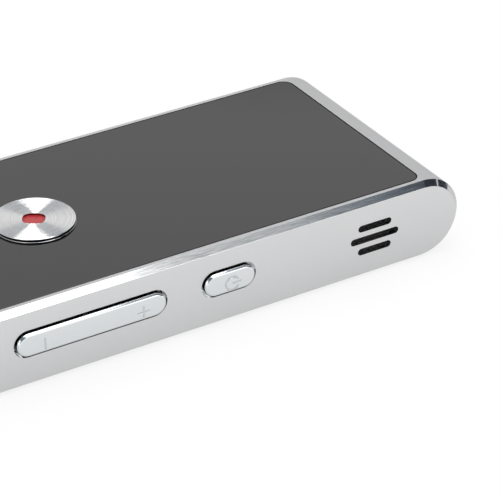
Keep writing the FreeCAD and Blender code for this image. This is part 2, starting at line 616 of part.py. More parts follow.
def board_screws():
    """The small screws through the board and the chassis into the frame's lugs."""
    return [disc(SCREW_HEAD_RADIUS, BOARD_TOP, BOARD_TOP + SCREW_HEAD_HEIGHT, x, y).fuse(
                disc(SCREW_RADIUS - SLIP / 2, CHASSIS_BOTTOM - SCREW_BITE + SCREW_END_ROOM, BOARD_TOP, x, y))
            for x, y in screw_places()]


def shield_can():
    """The tinned can over the processor and the memory."""
    outer = sheet(CAN_LENGTH, CAN_WIDTH, BOARD_TOP, BOARD_TOP + CAN_HEIGHT, 0.8, CAN_X, CAN_Y)
    inner = sheet(CAN_LENGTH - 2 * CAN_SHEET, CAN_WIDTH - 2 * CAN_SHEET, BOARD_TOP,
                  BOARD_TOP + CAN_HEIGHT - CAN_SHEET, 0.7, CAN_X, CAN_Y)
    return outer.cut(inner)


def chip(length, width, x, y):
    """One moulded chip on the board."""
    return block(x - length / 2, x + length / 2, y - width / 2, y + width / 2, BOARD_TOP, BOARD_TOP + CHIP_HEIGHT)


def board_chips():
    """The processor and memory under the can, and the charge and power chips outside it."""
    under_can = [chip(MAIN_CHIP_WIDTH, MAIN_CHIP_WIDTH, CAN_X - CAN_LENGTH / 6, CAN_Y),
                 chip(MEMORY_LENGTH, MEMORY_WIDTH, CAN_X + CAN_LENGTH / 4, CAN_Y)]
    outside = [chip(CHARGE_CHIP_WIDTH, CHARGE_CHIP_WIDTH, CHIP_X, CHIP_SPACING / 2),
               chip(POWER_CHIP_WIDTH, POWER_CHIP_WIDTH, CHIP_X - CHIP_SPACING, -CHIP_SPACING / 2),
               chip(POWER_CHIP_WIDTH, POWER_CHIP_WIDTH, CHIP_X, -CHIP_SPACING / 2),
               chip(CHARGE_CHIP_WIDTH, POWER_CHIP_WIDTH, CHIP_X - 2 * CHIP_SPACING, CHIP_SPACING)]
    return under_can + outside


def charge_socket_shell():
    """The charge socket's folded steel shell, under the board's tongue."""
    outer = plate_x(SOCKET_WIDTH, SOCKET_HEIGHT, SOCKET_MOUTH, SOCKET_BACK, 0, SOCKET_LEVEL, 0.7)
    inner = plate_x(SOCKET_WIDTH - 2 * SOCKET_SHEET, SOCKET_HEIGHT - 2 * SOCKET_SHEET, SOCKET_MOUTH,
                    SOCKET_BACK - SOCKET_SHEET, 0, SOCKET_LEVEL, 0.45)
    return outer.cut(inner)


def charge_socket_tongue():
    """The contact tongue inside the charge socket."""
    back = SOCKET_BACK - SOCKET_SHEET
    foot = block(back - 1.2, back, -SOCKET_WIDTH / 2 + 1.0, SOCKET_WIDTH / 2 - 1.0,
                 SOCKET_LEVEL - 0.85, SOCKET_LEVEL + 0.85)
    tongue = block(SOCKET_MOUTH + 0.8, back - 1.2, -SOCKET_WIDTH / 4, SOCKET_WIDTH / 4,
                   SOCKET_LEVEL + 0.05, SOCKET_LEVEL + 0.65)
    return foot.fuse(tongue).removeSplitter()


def microphone():
    """The microphone capsule under the board."""
    return block(MIC_X0, MIC_X0 + MIC_LENGTH, MIC_OFFSET - MIC_WIDTH / 2, MIC_OFFSET + MIC_WIDTH / 2,
                 BOARD_BOTTOM - MIC_HEIGHT, BOARD_BOTTOM)


def microphone_boot():
    """The rubber boot that leads sound from the end wall to the microphone."""
    reach = LENGTH / 2 - END_WALL - BOOT_GAP
    low, high = MIC_OFFSET - BOOT_WIDTH / 2, MIC_OFFSET + BOOT_WIDTH / 2
    boot = block(-reach, MIC_X0 - SLIP, low, high, MID_LEVEL - BOOT_DROP, BOARD_BOTTOM)
    boot = boot.common(stadium(2 * reach, THICKNESS - 2 * LEDGE_TOP - 2 * BOOT_GAP, low, high, 0, MID_LEVEL))
    bore = Part.makeCylinder(MIC_HOLE_RADIUS, LENGTH, Vector(-reach - 1, MIC_OFFSET, MID_LEVEL), Vector(1, 0, 0))
    return boot.cut(bore)


def parts():
    """Every node of the assembly, by name."""
    made = {
        "housing_frame": housing_frame(),
        "front_panel": front_panel(),
        "front_tape": panel_tape(THICKNESS - POCKET_DEPTH),
        "back_panel": glass_panel(0.0, 0.0),
        "back_tape": panel_tape(PANEL_THICKNESS),
        "key_carrier": key_carrier(),
        "volume_key": volume_key(),
        "volume_domes": [side_dome(VOLUME_X + s * VOLUME_NUB_OFFSET) for s in (-1, 1)],
        "power_key": power_key(),
        "power_dome": side_dome(POWER_X),
        "side_key_flex": side_key_flex(),
        "side_key_bracket": side_key_bracket(),
        "sound_mesh": sound_mesh(),
        "speaker_gasket": speaker_gasket(),
        "speaker_case": speaker_case(),
        "speaker_cone": speaker_cone(),
        "speaker_magnet": speaker_magnet(),
        "speaker_leads": speaker_leads(),
        "main_board": main_board(),
        "board_chips": board_chips(),
        "shield_can": shield_can(),
        "board_screws": board_screws(),
        "chassis": chassis(),
        "battery": battery(),
        "battery_pad": battery_pad(),
        "battery_tape": battery_tape(),
        "battery_leads": battery_leads(),
        "charge_socket_shell": charge_socket_shell(),
        "charge_socket_tongue": charge_socket_tongue(),
        "microphone": microphone(),
        "microphone_boot": microphone_boot(),
    }
    for colour, x in talk_key_places().items():
        made[f"talk_key_{colour}"] = talk_key(x)
        made[f"talk_mark_{colour}"] = talk_mark(x)
        made[f"talk_dome_{colour}"] = talk_dome(x)
    return made


def save(made):
    """Writes one STEP file for each node and prints its solids and volume."""
    os.makedirs("parts", exist_ok=True)
    for name, shape in made.items():
        if isinstance(shape, list):
            shape = Part.makeCompound(shape)
        if not shape.isValid():
            print("not valid:", name)
        shape.exportStep(f"parts/{name}.step")
        print(f"{name}: {len(shape.Solids)} solid(s), {shape.Volume:.2f} mm3")


save(parts())
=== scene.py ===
import math

import bmesh
import bpy
from mathutils import Matrix, Vector


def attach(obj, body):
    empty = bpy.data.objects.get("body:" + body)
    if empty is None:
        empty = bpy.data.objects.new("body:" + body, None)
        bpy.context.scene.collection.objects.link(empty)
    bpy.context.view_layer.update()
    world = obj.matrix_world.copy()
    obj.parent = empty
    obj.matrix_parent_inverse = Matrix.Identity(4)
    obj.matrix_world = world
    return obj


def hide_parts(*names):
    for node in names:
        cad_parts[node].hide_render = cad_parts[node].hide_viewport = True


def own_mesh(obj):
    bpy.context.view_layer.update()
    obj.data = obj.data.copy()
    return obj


# Looks of the handheld translator: finishes for every CAD node, the turned talk keys,
# the polished side keys with their signs, the snap domes under the keys,
# the woven mesh behind the sound slots, the light and the camera.
# Lengths are named in millimetres and turned into metres where a mesh is made.

MM = 0.001

# Gaps closed in the meshes, in metres
FACE_WELD = 1e-7
RIM_WELD = 2e-7

# Sizes shared with the CAD model
HALF_WIDTH = 19.9
WALL_INNER = 1.4 - HALF_WIDTH
THICKNESS = 12.6
EDGE_CHAMFER = 0.82
TALK_KEY_X = {"red": 10.25, "blue": -10.25}
TALK_KEY_TOP = 13.1
TALK_KEY_RADIUS = 5.95
TALK_FLANGE_RADIUS = 6.75
TALK_FLANGE_TOP = 11.55
TALK_FLANGE_BOTTOM = 10.85
TALK_NUB_RADIUS = 1.1
TALK_NUB_BOTTOM = 10.35
MARK_HALF_LENGTH = 1.65
MARK_HALF_WIDTH = 1.45
MARK_TURN = math.radians(-32.5)
MARK_DEPTH = 0.6
SIDE_KEY_LEVEL = 6.9
SIDE_KEY_HEIGHT = 3.55
SIDE_KEY_FACE = -HALF_WIDTH - 0.55
SIDE_FLANGE_WIDTH = 0.8
SIDE_FLANGE_THICKNESS = 0.5
VOLUME_X = 8.55
VOLUME_LENGTH = 23.05
VOLUME_FLANGE_FACE = WALL_INNER + 0.4
DOME_FRONT = VOLUME_FLANGE_FACE + 0.85
VOLUME_NUB_OFFSET = 7.5
POWER_X = 30.33
POWER_LENGTH = 8.16
POWER_FLANGE_FACE = WALL_INNER + 0.05
SIDE_NUB_RADIUS = 0.9
PIVOT_RADIUS = 0.45
PIVOT_NOSE = DOME_FRONT + 0.3
BOARD_TOP = 9.85
TALK_DOME_RADIUS = 3.0
TALK_DOME_HEIGHT = 0.5
SIDE_DOME_RADIUS = 1.9
SIDE_DOME_HEIGHT = 0.35
FLEX_FACE = DOME_FRONT + SIDE_DOME_HEIGHT
DOME_SHEET = 0.08
DOME_CROWN = 0.45
SOUND_X = 54.9
MESH_LENGTH = 9.45
MESH_HEIGHT = 6.14
MESH_Y = WALL_INNER + 0.1

# Snap domes: the air under a nub at rest, and the steps round each dome
DOME_SLACK = 0.01
DOME_SPOKES = 48

# Talk keys: the turned face, the lip at the glass and the mark, which lies deeper than in the CAD model
GROOVE_PITCH = 0.12
GROOVE_SLOPE = math.radians(21)
GROOVE_DEPTH = GROOVE_PITCH * math.tan(GROOVE_SLOPE) / math.pi
GROOVE_BEAT = 0.36
GROOVE_BEAT_SHARE = 0.10
GROOVE_FADE_IN = (0.0, 0.01)
GROOVE_FADE_OUT = (0.985, 1.0)
FACE_RINGS = 300
FACE_SPOKES = 100
RIM_ROUNDING = 0.09
LIP_WIDTH = 0.05
LIP_LEVEL = 12.65
LIP_HEIGHT = 0.2
LIP_SLOPE = 0.08
WELL_RADIUS = 2.0
MARK_SQUARENESS = 2.86
MARK_SINK = 0.30
MARK_FIT = 0.995
MARK_DISH = ((0.93, 0.03), (0.8, 0.05), (0.4, 0.06))

# Side keys: the rounded edge and the signs on the outer face
KEY_ROUNDING = 0.42
KEY_END_STEPS = 20
SIGN_LEVEL = 6.4
SIGN_HALF_LENGTH = 0.95
SIGN_HALF_STROKE = 0.14
MINUS_X = 1.2
PLUS_X = 16.4
POWER_SIGN_X = 30.6
POWER_SIGN_LEVEL = 6.5
POWER_RING_RADIUS = 1.05
POWER_RING_EDGE = (0.10, 0.18)
POWER_GAP_EDGE = (0.42, 0.50)
POWER_BAR_X = 31.35
POWER_BAR_HALF_LENGTH = 0.75
POWER_BAR_HALF_STROKE = 0.13

# Steps in a rounding, and the distance from an edge to the extra loop that keeps its shading crisp
ROUNDING_STEPS = 8
LIP_STEPS = 4
LIP_HOLD = 0.02
FLANGE_HOLD = 0.05
SIDE_KEY_HOLD = 0.03

# Woven mesh: a trim shortens the wires and a margin narrows their spread
WEAVE_PITCH = 0.36
WEAVE_WIRE = 0.09
WEAVE_WAVE = 0.9 * WEAVE_WIRE
POINTS_PER_PITCH = 4.0
WIRE_SIDES = 5
LONG_WIRE_TRIM = 1.0
LONG_WIRE_MARGIN = 0.6
SHORT_WIRE_TRIM = 0.4
SHORT_WIRE_MARGIN = 1.6

# Studio: levels, of which 1 is white, and lengths in metres
EVEN_LIGHT = (0.72, 0.72, 0.73, 1.0)
ROOM_DIM = (0.17, 0.20, 0.235, 1.0)
ROOM_DARK = (0.035, 0.04, 0.05, 1.0)
ROOM_BESIDE = (0.56, 0.58, 0.59, 1.0)
ROOM_RIGHT = (0.74, 0.75, 0.75, 1.0)
BACKDROP_LOW = 0.70
BACKDROP_HIGH = 0.60
PANEL_LIGHT = (1.12, 1.10, 1.11, 1.0)
STRIP_LIGHT = 0.9
LEFT_LIGHT = 1.4
FRONT_LIGHT = 1.6
SOFT_BOX_GLARE = 2.9
LAMP_LEVEL = 1.25
LAMP_HEIGHT = 0.9
LAMP_SIZE = (0.75 * LAMP_HEIGHT, 1.7 * LAMP_HEIGHT)
LAMP_PLACE = (0.05 * LAMP_HEIGHT, -0.25 * LAMP_HEIGHT, LAMP_HEIGHT)
FLOOR_RADIUS = 2.5
FLOOR_DROP = 0.0002
FLOOR_GLOW = 0.72
FLOOR_SEEN = 1.08
FLOOR_MIRRORED_FRONT = 1.04
FLOOR_MIRRORED_BACK = 0.60
# FLOOR_MIRRORED_NEAR and FLOOR_NEAR_EDGE paint a shadow into the floor's glow for mirror rays: its level
# next to the bar's front, and the span in metres over which it fades out
FLOOR_MIRRORED_NEAR = 0.65
FLOOR_FRONT_EDGE = (0.0, 0.012)
FLOOR_NEAR_EDGE = (0.012, 0.050)
FLOOR_COLOUR = 0.80

# Camera
CAMERA_PLACE = (-122.77, -277.32, 191.18)
CAMERA_AZIMUTH = math.radians(31.31)
CAMERA_ELEVATION = math.radians(30.93)
CAMERA_ROLL = math.radians(-0.18)
CAMERA_LENS = 180.8

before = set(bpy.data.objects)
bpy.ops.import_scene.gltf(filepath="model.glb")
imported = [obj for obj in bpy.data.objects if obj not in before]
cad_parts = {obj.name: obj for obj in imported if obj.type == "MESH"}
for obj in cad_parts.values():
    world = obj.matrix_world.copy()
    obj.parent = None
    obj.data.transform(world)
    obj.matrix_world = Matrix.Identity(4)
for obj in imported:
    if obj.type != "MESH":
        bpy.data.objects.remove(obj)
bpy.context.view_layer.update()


class Field:
    """A value on its way through a node tree: Python's operators add the maths nodes."""

    def __init__(self, tree, socket):
        self.tree = tree
        self.socket = socket

    def math(self, operation, *others):
        maths = self.tree.nodes.new("ShaderNodeMath")
        maths.operation = operation
        for place, value in zip(maths.inputs, (self, *others)):
            join(self.tree, value, place)
        return Field(self.tree, maths.outputs[0])

    def __add__(self, other):
        return self.math("ADD", other)

    __radd__ = __add__

    def __mul__(self, other):
        return self.math("MULTIPLY", other)

    __rmul__ = __mul__

    def __sub__(self, other):
        return self.math("SUBTRACT", other)

    def __rsub__(self, other):
        return (self * -1.0) + other

    def __truediv__(self, other):
        return self.math("DIVIDE", other)

    def __pow__(self, other):
        return self.math("POWER", other)

    def __abs__(self):
        return self.math("ABSOLUTE")

    def smooth(self, low, high):
        """0 below low, 1 above high and a soft step between them."""
        span = self.tree.nodes.new("ShaderNodeMapRange")
        span.interpolation_type = "SMOOTHSTEP"
        join(self.tree, self, span.inputs["Value"])
        span.inputs["From Min"].default_value = low
        span.inputs["From Max"].default_value = high
        return Field(self.tree, span.outputs["Result"])

    def drop(self, low, high):
        """1 below low, 0 above high and a soft step between them."""
        return 1.0 - self.smooth(low, high)


def join(tree, value, socket):
    """Links a field to a socket, or sets the socket to a plain value."""
    if isinstance(value, Field):
        tree.links.new(value.socket, socket)
    else:
        socket.default_value = value


class Tree:
    """A node tree that is filled through one method for all nodes but the maths."""

    def __init__(self, tree):
        self.tree = tree

    def node(self, kind, settings=None, out=0, **values):
        """Adds a node: values go to its inputs, by name or as i and a number, and out picks its output."""
        made = self.tree.nodes.new(kind)
        for name, value in (settings or {}).items():
            setattr(made, name, value)
        for name, value in values.items():
            numbered = name[0] == "i" and name[1:].isdigit()
            key = int(name[1:]) if numbered else name.replace("_", " ")
            join(self.tree, value, made.inputs[key])
        return Field(self.tree, made.outputs[out])

    def blend(self, low, high, factor):
        """A colour between low and high."""
        return self.node("ShaderNodeMix", {"data_type": "RGBA"}, out=2, i0=factor, i6=low, i7=high)


def grey(level):
    """An opaque grey."""
    return (level, level, level, 1.0)


class Finish(Tree):
    """A material with one Principled shader, drawn on Object coordinates in millimetres."""

    def __init__(self, name, colour, roughness, metallic=0.0, specular=0.5):
        self.material = bpy.data.materials.new(name)
        self.material.use_nodes = True
        super().__init__(self.material.node_tree)
        self.shader = self.tree.nodes["Principled BSDF"]
        self.shader.inputs["Base Color"].default_value = (*colour, 1.0)
        self.shader.inputs["Roughness"].default_value = roughness
        self.shader.inputs["Metallic"].default_value = metallic
        self.shader.inputs["Specular IOR Level"].default_value = specular
        place = self.node("ShaderNodeTexCoord", out="Object")
        self.place = self.node("ShaderNodeVectorMath", {"operation": "SCALE"}, i0=place, Scale=1.0 / MM)
        apart = self.node("ShaderNodeSeparateXYZ", i0=self.place)
        self.x = apart
        self.y = Field(self.tree, apart.socket.node.outputs[1])
        self.z = Field(self.tree, apart.socket.node.outputs[2])

    def grain(self, scale, stretch=(1.0, 1.0, 1.0), detail=3.0):
        """Noise from 0 to 1 with its scale in lumps per millimetre, drawn out along an axis by stretch."""
        place = self.node("ShaderNodeVectorMath", {"operation": "MULTIPLY"}, i0=self.place, i1=stretch)
        return self.node("ShaderNodeTexNoise", Vector=place, Scale=scale, Detail=detail)

    def set(self, socket, value):
        join(self.tree, value, self.shader.inputs[socket])

    def relief(self, height, depth):
        """Raises the surface by height, a field from 0 to 1, times depth in millimetres."""
        self.set("Normal", self.node("ShaderNodeBump", Height=height, Distance=depth * MM, Strength=1.0))


def band_metal():
    """Satin blasted side walls, brushed ends and mirror-cut chamfers."""
    f = Finish("band_metal", (0.80, 0.805, 0.81), 0.4, 1.0)
    across = abs(f.y)
    chamfer = HALF_WIDTH - EDGE_CHAMFER
    wall = across.smooth(HALF_WIDTH - 0.03, HALF_WIDTH - 0.01)
    cut = across.smooth(chamfer - 0.02, chamfer + 0.02) * (1.0 - wall)
    rest = (1.0 - wall) * (1.0 - cut)
    blast = f.grain(7.0)
    cloud = f.grain(0.12)
    brush = f.grain(6.0, (1.0, 0.03, 1.0))
    streak = f.grain(5.0, (0.06, 1.0, 1.0))
    speck = f.grain(4.5, (0.10, 1.0, 1.0))
    wall_rough = blast * 0.12 + 0.36
    cut_rough = streak * 0.08 + 0.05
    rest_rough = brush * 0.22 + 0.22
    f.set("Roughness", wall * wall_rough + cut * cut_rough + rest * rest_rough)
    wall_shade = blast * 0.05 + 0.835
    cut_shade = speck * 0.7 + streak * 0.3 + 0.37
    rest_shade = brush * 0.12 + 0.72
    shade = wall * wall_shade + cut * cut_shade + rest * rest_shade + cloud * 0.02
    f.set("Base Color", f.blend(grey(0.0), (0.85, 0.855, 0.86, 1.0), shade))
    lines = streak * 0.25 + speck * 0.06
    f.relief(wall * blast * 0.9 + rest * brush * 0.7 + cut * lines, 0.006)
    return f.material


def dark_glass():
    """Glossy dark glass with the faintest waviness and dust."""
    f = Finish("dark_glass", (0.006, 0.0056, 0.0058), 0.06)
    haze = f.grain(0.06)
    dust = f.grain(9.0, detail=1.0).smooth(0.74, 0.80)
    f.set("Roughness", haze * 0.05 + dust * 0.18 + 0.035)
    clean, dusty = (0.0050, 0.0046, 0.0048, 1.0), (0.0085, 0.0078, 0.0081, 1.0)
    f.set("Base Color", f.blend(clean, dusty, haze + dust * 0.4))
    return f.material


def turned_metal():
    """Bright metal turned in fine rings round each key's own centre. Its side is painted near black, a
    painted shade and dark reflection, and the recess round the mark is painted dark red, a painted shade.
    """
    f = Finish("turned_metal", (0.86, 0.865, 0.87), 0.2, 1.0)
    offset = abs(f.x) - TALK_KEY_X["red"]
    radius = (offset * offset + f.y * f.y) ** 0.5
    ring = f.node("ShaderNodeTexNoise", {"noise_dimensions": "1D"}, W=radius, Scale=5.0, Detail=3.0)
    inner = radius.drop(TALK_KEY_RADIUS - 0.20, TALK_KEY_RADIUS - 0.15)
    face = f.z.smooth(TALK_KEY_TOP - 0.05, TALK_KEY_TOP - 0.04) * inner
    f.set("Roughness", face * (ring * 0.06 + 0.03) + 0.06)
    # Painted shade and dark reflection: the key's side, from the rim down to the lip, is painted near black
    outer = radius.smooth(TALK_KEY_RADIUS - 0.04, TALK_KEY_RADIUS - 0.02)
    side = outer * f.z.drop(TALK_KEY_TOP - 0.09, TALK_KEY_TOP - 0.06)
    lip = radius.smooth(TALK_KEY_RADIUS + 0.01, TALK_KEY_RADIUS + 0.02)
    # Painted shade: the sunk recess round the mark is painted dark red, also on the blue key
    deep = f.z.drop(TALK_KEY_TOP - 0.10, TALK_KEY_TOP - 0.05)
    well_shade = deep * radius.drop(WELL_RADIUS - 0.1, WELL_RADIUS + 0.1)
    ringed = f.blend((0.68, 0.685, 0.69, 1.0), grey(1.0), ring)
    side_shaded = f.blend(ringed, (0.07, 0.07, 0.075, 1.0), side * (1.0 - lip))
    f.set("Base Color", f.blend(side_shaded, (0.10, 0.06, 0.06, 1.0), well_shade))
    f.relief(ring * face, 0.004)
    return f.material


def stroke(f, cx, cz, half_x, half_z):
    """1 inside a small upright rectangle on the side face, 0 outside it, with a soft edge."""
    soft = 0.04
    along = abs(f.x - cx).drop(half_x - soft, half_x + soft)
    up = abs(f.z - cz).drop(half_z - soft, half_z + soft)
    return along * up


def polished_key():
    """Chrome with engraved signs: minus, plus and a power ring."""
    f = Finish("polished_key", (0.84, 0.86, 0.865), 0.08, 1.0)
    minus = stroke(f, MINUS_X, SIGN_LEVEL, SIGN_HALF_STROKE, SIGN_HALF_LENGTH)
    plus_up = stroke(f, PLUS_X, SIGN_LEVEL, SIGN_HALF_STROKE, SIGN_HALF_LENGTH)
    plus_along = stroke(f, PLUS_X, SIGN_LEVEL, SIGN_HALF_LENGTH, SIGN_HALF_STROKE)
    dx = f.x - POWER_SIGN_X
    dz = f.z - POWER_SIGN_LEVEL
    reach = (dx * dx + dz * dz) ** 0.5
    ring = abs(reach - POWER_RING_RADIUS).drop(*POWER_RING_EDGE)
    gap = abs(dz).drop(*POWER_GAP_EDGE) * dx.smooth(0.0, 0.1)
    power_bar = stroke(f, POWER_BAR_X, POWER_SIGN_LEVEL, POWER_BAR_HALF_LENGTH, POWER_BAR_HALF_STROKE)
    power = (ring * (1.0 - gap)).math("MAXIMUM", power_bar)
    front = f.y.drop(SIDE_KEY_FACE + 0.05, SIDE_KEY_FACE + 0.1)
    sign = minus.math("MAXIMUM", plus_up).math("MAXIMUM", plus_along).math("MAXIMUM", power) * front
    haze = f.grain(0.5)
    f.set("Roughness", haze * 0.04 + sign * 0.16 + 0.05)
    f.set("Base Color", f.blend((0.80, 0.83, 0.84, 1.0), (0.68, 0.70, 0.71, 1.0), sign))
    f.relief(1.0 - sign, 0.05)
    return f.material


def enamel(name, deep, light):
    """Glossy enamel, a little uneven in its fill."""
    f = Finish(name, light, 0.2)
    pool = f.grain(1.2)
    f.set("Base Color", f.blend((*deep, 1.0), (*light, 1.0), pool))
    f.set("Roughness", pool * 0.12 + 0.16)
    f.relief(pool, 0.02)
    return f.material


def moulded(name, colour, roughness=0.55, grain=4.0, depth=0.01):
    """Moulded plastic or rubber with a fine spark-eroded grain."""
    f = Finish(name, colour, roughness)
    skin = f.grain(grain)
    darker = tuple(c * 0.8 for c in colour)
    f.set("Base Color", f.blend((*darker, 1.0), (*colour, 1.0), skin))
    f.set("Roughness", skin * 0.15 + (roughness - 0.08))
    f.relief(skin, depth)
    return f.material


def sheet_metal(name, colour, roughness=0.3, stretch=(0.05, 1.0, 1.0)):
    """Rolled sheet metal with fine lines along its length."""
    f = Finish(name, colour, roughness, 1.0)
    roll = f.grain(6.0, stretch)
    darker = tuple(c * 0.85 for c in colour)
    f.set("Base Color", f.blend((*darker, 1.0), (*colour, 1.0), roll))
    f.set("Roughness", roll * 0.15 + (roughness - 0.08))
    f.relief(roll, 0.004)
    return f.material


def board_laminate():
    """Green solder mask over a faint copper pattern."""
    f = Finish("board_laminate", (0.02, 0.13, 0.06), 0.3)
    tracks = f.node("ShaderNodeTexBrick", Vector=f.place, Scale=0.9,
                    Color1=(0.02, 0.14, 0.065, 1.0), Color2=(0.015, 0.10, 0.05, 1.0),
                    Mortar=(0.03, 0.20, 0.09, 1.0))
    f.set("Base Color", tracks)
    f.set("Roughness", f.grain(2.0) * 0.1 + 0.26)
    return f.material


def foil_pouch():
    """The battery's silvery foil, softly creased."""
    f = Finish("foil_pouch", (0.66, 0.66, 0.68), 0.35, 1.0)
    crease = f.grain(0.35, detail=4.0)
    f.set("Base Color", f.blend((0.55, 0.55, 0.57, 1.0), (0.72, 0.72, 0.74, 1.0), crease))
    f.set("Roughness", crease * 0.2 + 0.26)
    f.relief(crease, 0.15)
    return f.material


def dress_nodes():
    """Gives its finish to each CAD node that stays in view."""
    glass = dark_glass()
    black = moulded("black_moulding", (0.035, 0.035, 0.038))
    foam = moulded("black_foam", (0.03, 0.03, 0.03), 0.85, 2.5, 0.08)
    steel = sheet_metal("rolled_steel", (0.62, 0.62, 0.63))
    tin = sheet_metal("tinned_sheet", (0.70, 0.70, 0.68), 0.25)
    tape = moulded("tape_film", (0.04, 0.04, 0.04), 0.6, 6.0, 0.005)
    finishes = {
        "housing_frame": band_metal(),
        "charge_socket_shell": sheet_metal("socket_sheet", (0.68, 0.69, 0.70), 0.28),
        "chassis": moulded("chassis_moulding", (0.07, 0.07, 0.075)),
        "board_chips": moulded("chip_moulding", (0.02, 0.02, 0.02)),
        "side_key_flex": moulded("amber_film", (0.42, 0.22, 0.05), 0.35, 1.0, 0.003),
        "speaker_cone": moulded("cone_film", (0.12, 0.12, 0.12), 0.45, 1.5, 0.01),
        "speaker_leads": moulded("black_lead", (0.03, 0.03, 0.03), 0.45),
        "battery_leads": moulded("red_lead", (0.40, 0.03, 0.03), 0.45),
        "main_board": board_laminate(),
        "battery": foil_pouch(),
    }
    shared = (
        (glass, ("front_panel", "back_panel")),
        (tape, ("front_tape", "back_tape", "battery_tape")),
        (black, ("key_carrier", "speaker_case", "charge_socket_tongue")),
        (foam, ("microphone_boot", "speaker_gasket", "battery_pad")),
        (steel, ("side_key_bracket", "board_screws")),
        (tin, ("speaker_magnet", "shield_can", "microphone")),
    )
    for finish, names in shared:
        finishes.update({name: finish for name in names})
    for name, finish in finishes.items():
        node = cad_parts[name]
        node.data.materials.clear()
        node.data.materials.append(finish)


def shown(name, shell, finish, body, node):
    """Makes an object of a bmesh and puts it in the place of a CAD node."""
    mesh = bpy.data.meshes.new(name)
    shell.to_mesh(mesh)
    shell.free()
    piece = bpy.data.objects.new(name, mesh)
    bpy.context.scene.collection.objects.link(piece)
    mesh.materials.clear()
    mesh.materials.append(finish)
    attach(piece, body)
    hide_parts(node)
    return piece


def mark_reach(turn):
    """How far the rounded mark reaches from its centre at a turn about the key's axis."""
    c = abs(math.cos(turn - MARK_TURN)) / MARK_HALF_LENGTH
    s = abs(math.sin(turn - MARK_TURN)) / MARK_HALF_WIDTH
    return (c ** MARK_SQUARENESS + s ** MARK_SQUARENESS) ** (-1.0 / MARK_SQUARENESS)


def turned_face_tree():
    """Geometry nodes for a talk key's face: concentric turned grooves round a sunk, rounded mark."""
    group = bpy.data.node_groups.new("turned_face", "GeometryNodeTree")
    inputs = (("Centre X", 0.0), ("Top", TALK_KEY_TOP), ("Outer Radius", TALK_KEY_RADIUS - RIM_ROUNDING),
              ("Groove Pitch", GROOVE_PITCH), ("Groove Depth", GROOVE_DEPTH),
              ("Groove Beat", GROOVE_BEAT), ("Mark Half Length", MARK_HALF_LENGTH),
              ("Mark Half Width", MARK_HALF_WIDTH), ("Mark Squareness", MARK_SQUARENESS),
              ("Mark Turn", MARK_TURN), ("Mark Depth", MARK_DEPTH))
    for name, value in inputs:
        size = group.interface.new_socket(name, in_out="INPUT", socket_type="NodeSocketFloat")
        size.default_value = value
    for name, value in (("Rings", FACE_RINGS), ("Spokes", FACE_SPOKES)):
        count = group.interface.new_socket(name, in_out="INPUT", socket_type="NodeSocketInt")
        count.default_value = value
    group.interface.new_socket("Finish", in_out="INPUT", socket_type="NodeSocketMaterial")
    group.interface.new_socket("Geometry", in_out="OUTPUT", socket_type="NodeSocketGeometry")
    t = Tree(group)
    source = group.nodes.new("NodeGroupInput")
    given = {s.name: Field(group, s) for s in source.outputs if s.name}
    rings, spokes = given["Rings"], given["Spokes"]
    sheet = t.node("GeometryNodeMeshGrid", Size_X=1.0, Size_Y=1.0, Vertices_X=rings, Vertices_Y=spokes + 1.0)
    place = t.node("ShaderNodeSeparateXYZ", i0=t.node("GeometryNodeInputPosition"))
    ring = ((place + 0.5) * (rings - 1.0)).math("ROUND")
    turn = (Field(group, place.socket.node.outputs[1]) + 0.5) * (2.0 * math.pi)
    local = turn - given["Mark Turn"]
    power = given["Mark Squareness"]
    c = (abs(local.math("COSINE")) / given["Mark Half Length"]) ** power
    s = (abs(local.math("SINE")) / given["Mark Half Width"]) ** power
    mark = (c + s) ** (power ** -1.0 * -1.0)
    share = ((ring - 2.0) / (rings - 3.0)).math("MAXIMUM", 0.0)
    reach = ring.math("MINIMUM", 1.0) * mark + share * (given["Outer Radius"] - mark)
    wave = (reach * (2.0 * math.pi) / given["Groove Pitch"]).math("COSINE")
    swell = (reach * (2.0 * math.pi) / given["Groove Beat"]).math("COSINE")
    beat = swell * GROOVE_BEAT_SHARE + (1.0 - GROOVE_BEAT_SHARE)
    inside = share.smooth(*GROOVE_FADE_IN) * share.drop(*GROOVE_FADE_OUT)
    grooved = given["Top"] - (1.0 - wave * beat) * 0.5 * given["Groove Depth"] * inside
    up = ring.math("GREATER_THAN", 1.5)
    level = grooved * up + (given["Top"] - given["Mark Depth"]) * (1.0 - up)
    spot = t.node("ShaderNodeCombineXYZ", X=reach * turn.math("COSINE") + given["Centre X"],
                  Y=reach * turn.math("SINE"), Z=level)
    metres = t.node("ShaderNodeVectorMath", {"operation": "SCALE"}, i0=spot, Scale=MM)
    bent = t.node("GeometryNodeSetPosition", Geometry=sheet, Position=metres)
    closed = t.node("GeometryNodeMergeByDistance", Geometry=bent, Distance=FACE_WELD)
    real = t.node("GeometryNodeRealizeInstances", Geometry=closed)
    painted = t.node("GeometryNodeSetMaterial", Geometry=real, Material=given["Finish"])
    target = group.nodes.new("NodeGroupOutput")
    group.links.new(painted.socket, target.inputs["Geometry"])
    return group


def grown(name, tree, **settings):
    """The plain mesh that a node tree makes with these inputs."""
    host = bpy.data.objects.new(name, bpy.data.meshes.new(name))
    bpy.context.scene.collection.objects.link(host)
    modifier = host.modifiers.new("tree", "NODES")
    modifier.node_group = tree
    sockets = {s.name: s.identifier for s in tree.interface.items_tree if s.in_out == "INPUT"}
    for key, value in settings.items():
        modifier[sockets[key.replace("_", " ")]] = value
    seen = host.evaluated_get(bpy.context.evaluated_depsgraph_get())
    mesh = bpy.data.meshes.new_from_object(seen)
    host.modifiers.clear()
    bpy.data.objects.remove(host)
    return mesh


def ring_of(shell, spokes, spot):
    """One closed ring of vertices, at spot(turn) in millimetres."""
    return [shell.verts.new(Vector(spot(2 * math.pi * i / spokes)) * MM) for i in range(spokes)]


